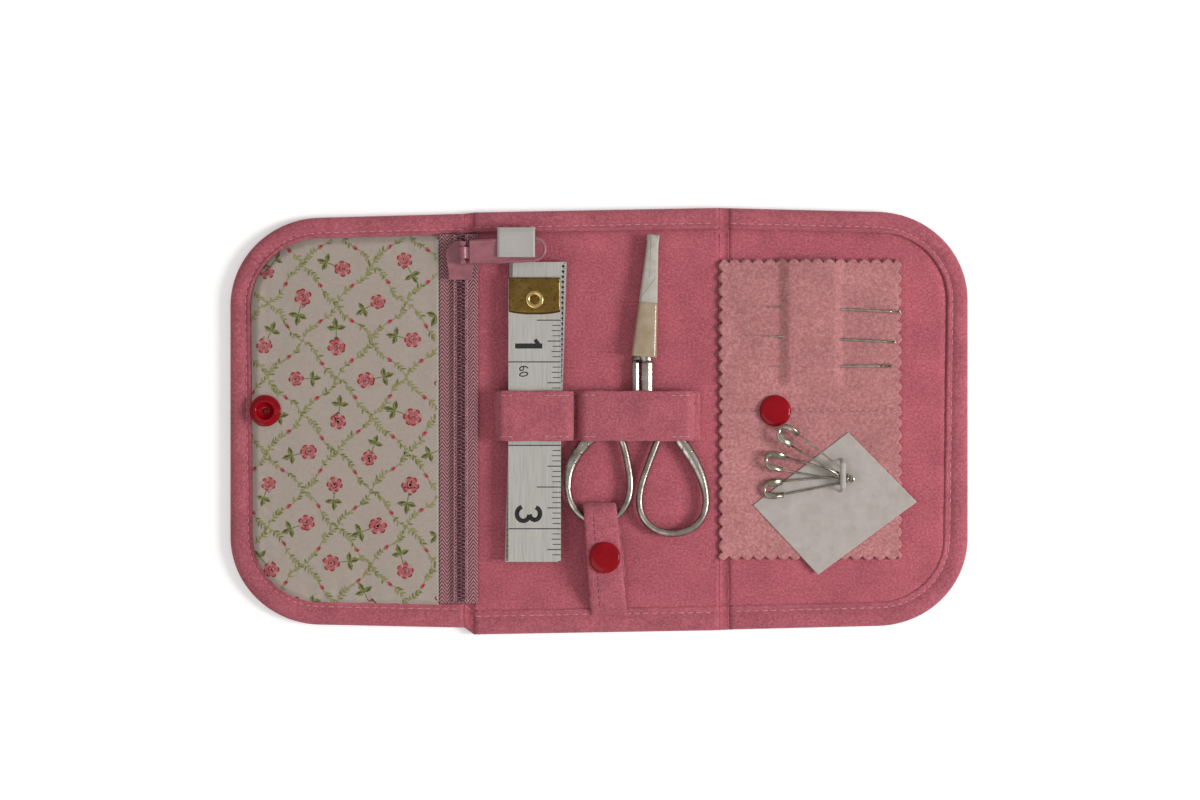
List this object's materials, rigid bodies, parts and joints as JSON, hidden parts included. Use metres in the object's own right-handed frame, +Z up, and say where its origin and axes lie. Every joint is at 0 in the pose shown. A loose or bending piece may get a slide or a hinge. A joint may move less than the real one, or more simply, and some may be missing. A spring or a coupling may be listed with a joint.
{
  "type": "sewing kit",
  "caption": "Fold-out padded cloth sewing kit with zip pocket, tape measure, embroidery scissors, felt needle page, needles and safety pins, closed by a snap.",
  "frame": {"origin": "middle of the middle panel, on the underside of the outer cover", "axes": "+X across the open panels, +Y up the panels, +Z up out of the lining"},
  "size_m": [0.226, 0.1308, 0.0109],
  "materials": {
    "suede": "faux suede, soft short nap",
    "binding": "faux suede, topstitched",
    "lining": "faux suede, soft short nap",
    "wadding": "loose fibre",
    "cotton": "plain weave, rose print",
    "zip_tape": "herringbone tape",
    "zip_coil": "dyed nylon",
    "zip_enamel": "enamelled die casting",
    "snap": "glossy translucent",
    "printed_tape": "coated woven tape, printed scale",
    "brass": "worn",
    "nickel_steel": "aged nickel plate",
    "sheath_paper": "wound paper under clear tape",
    "felt": "wool felt with pinked edges",
    "pin_paper": "thin creased paper",
    "pin_wire": "aged nickel plate",
    "needle_steel": "polished",
    "satin": "woven satin ribbon, bare"
  },
  "bodies": {
    "middle_panel": {"middle_outer_cover": "suede", "middle_wadding": "wadding", "middle_lining": "lining", "middle_binding_top": "binding", "middle_binding_bottom": "binding", "left_fold_cloth": "suede", "right_fold_cloth": "suede", "tool_strap": "suede", "retainer_loop": "suede", "retainer_snap_back_cap": "snap", "retainer_snap_socket": "snap", "retainer_snap_stud": "snap", "retainer_snap_front_cap": "snap", "label": "satin"},
    "left_flap": {"left_flap_outer_cover": "suede", "left_flap_wadding": "wadding", "left_flap_lining": "lining", "left_flap_binding": "binding", "pocket_front": "cotton", "zip_tape_left": "zip_tape", "zip_tape_right": "zip_tape", "zip_coil_left": "zip_coil", "zip_coil_right": "zip_coil", "left_snap_cap": "snap", "left_snap_socket": "snap"},
    "zip_slider": {"zip_slider": "zip_enamel"},
    "zip_pull": {"zip_pull_tab": "zip_enamel"},
    "right_flap": {"right_flap_outer_cover": "suede", "right_flap_wadding": "wadding", "right_flap_lining": "lining", "right_flap_binding": "binding", "felt_seam_band": "felt", "right_snap_cap": "snap", "right_snap_stud": "snap"},
    "needle_page": {"felt_needle_page": "felt"},
    "needle_1": {"needle_1": "needle_steel"},
    "needle_2": {"needle_2": "needle_steel"},
    "needle_3": {"needle_3": "needle_steel"},
    "pin_page": {"felt_pin_page": "felt", "pin_paper": "pin_paper", "safety_pin_1_frame": "pin_wire", "safety_pin_1_cap": "pin_wire", "safety_pin_2_frame": "pin_wire", "safety_pin_2_cap": "pin_wire", "safety_pin_3_frame": "pin_wire", "safety_pin_3_cap": "pin_wire"},
    "pin_arm_1": {"safety_pin_1_arm": "pin_wire"},
    "pin_arm_2": {"safety_pin_2_arm": "pin_wire"},
    "pin_arm_3": {"safety_pin_3_arm": "pin_wire"},
    "tape": {"tape_measure": "printed_tape", "tape_end_plate": "brass", "tape_eyelet": "brass"},
    "scissors": {"scissor_half_left": "nickel_steel", "scissor_screw": "nickel_steel"},
    "scissor_right": {"scissor_half_right": "nickel_steel"},
    "sheath": {"blade_sheath": "sheath_paper"}
  },
  "joints": [
    {"name": "left_flap_fold", "type": "hinge", "parent": "middle_panel", "child": "left_flap", "pos_m": [-0.0398, 0, 0.01495], "axis": [0, 1, 0], "range_deg": [0, 184.3], "deforming": ["left_fold_cloth", "label"]},
    {"name": "right_flap_fold", "type": "hinge", "parent": "middle_panel", "child": "right_flap", "pos_m": [0.03826, 0, 0.0094], "axis": [0, -1, 0], "range_deg": [0, 179.9], "deforming": ["right_fold_cloth"]},
    {"name": "zip_slide", "type": "slide", "parent": "left_flap", "child": "zip_slider", "axis": [0, 1, 0], "range_m": [-0.098, 0]},
    {"name": "zip_pull_flip", "type": "hinge", "parent": "zip_slider", "child": "zip_pull", "pos_m": [-0.0413, 0.05145, 0.00945], "axis": [0, 1, 0], "range_deg": [-184.3, 0]},
    {"name": "needle_page_lift", "type": "hinge", "parent": "right_flap", "child": "needle_page", "pos_m": [0.0538, 0.0092, 0.0049], "axis": [-1, 0, 0], "range_deg": [-85, 0]},
    {"name": "pin_page_lift", "type": "hinge", "parent": "right_flap", "child": "pin_page", "pos_m": [0.0538, 0.0012, 0.0049], "axis": [1, 0, 0], "range_deg": [-40, 0]},
    {"name": "needle_1_draw", "type": "slide", "parent": "needle_page", "child": "needle_1", "axis": [-0.9992, 0.0397, 0], "range_m": [-0.031, 0]},
    {"name": "needle_2_draw", "type": "slide", "parent": "needle_page", "child": "needle_2", "axis": [-0.9989, 0.0477, 0], "range_m": [-0.031, 0]},
    {"name": "needle_3_draw", "type": "slide", "parent": "needle_page", "child": "needle_3", "axis": [-1, -0.0076, 0], "range_m": [-0.031, 0]},
    {"name": "safety_pin_1_open", "type": "hinge", "parent": "pin_page", "child": "pin_arm_1", "pos_m": [0.0766, -0.0174, 0.00805], "axis": [0, 0, 1], "range_deg": [-12, 0]},
    {"name": "safety_pin_2_open", "type": "hinge", "parent": "pin_page", "child": "pin_arm_2", "pos_m": [0.0766, -0.0174, 0.00705], "axis": [0, 0, -1], "range_deg": [-20, 0]},
    {"name": "safety_pin_3_open", "type": "hinge", "parent": "pin_page", "child": "pin_arm_3", "pos_m": [0.0766, -0.0174, 0.00605], "axis": [0, 0, -1], "range_deg": [-20, 0]},
    {"name": "tape_draw", "type": "slide", "parent": "middle_panel", "child": "tape", "axis": [0, -1, 0], "range_m": [-0.058, 0]},
    {"name": "scissors_draw", "type": "slide", "parent": "middle_panel", "child": "scissors", "axis": [0, 1, 0], "range_m": [-0.002, 0]},
    {"name": "scissors_open", "type": "hinge", "parent": "scissors", "child": "scissor_right", "pos_m": [0.0136, 0.0232, 0.006], "axis": [0, 0, -1], "range_deg": [-1, 0]},
    {"name": "sheath_draw", "type": "slide", "parent": "scissors", "child": "sheath", "axis": [-0.0777, -0.997, 0], "range_m": [-0.038, 0]}
  ],
  "couplings": [
    {"joint": "zip_pull_flip", "follows": "left_flap_fold", "ratio": -1}
  ]
}
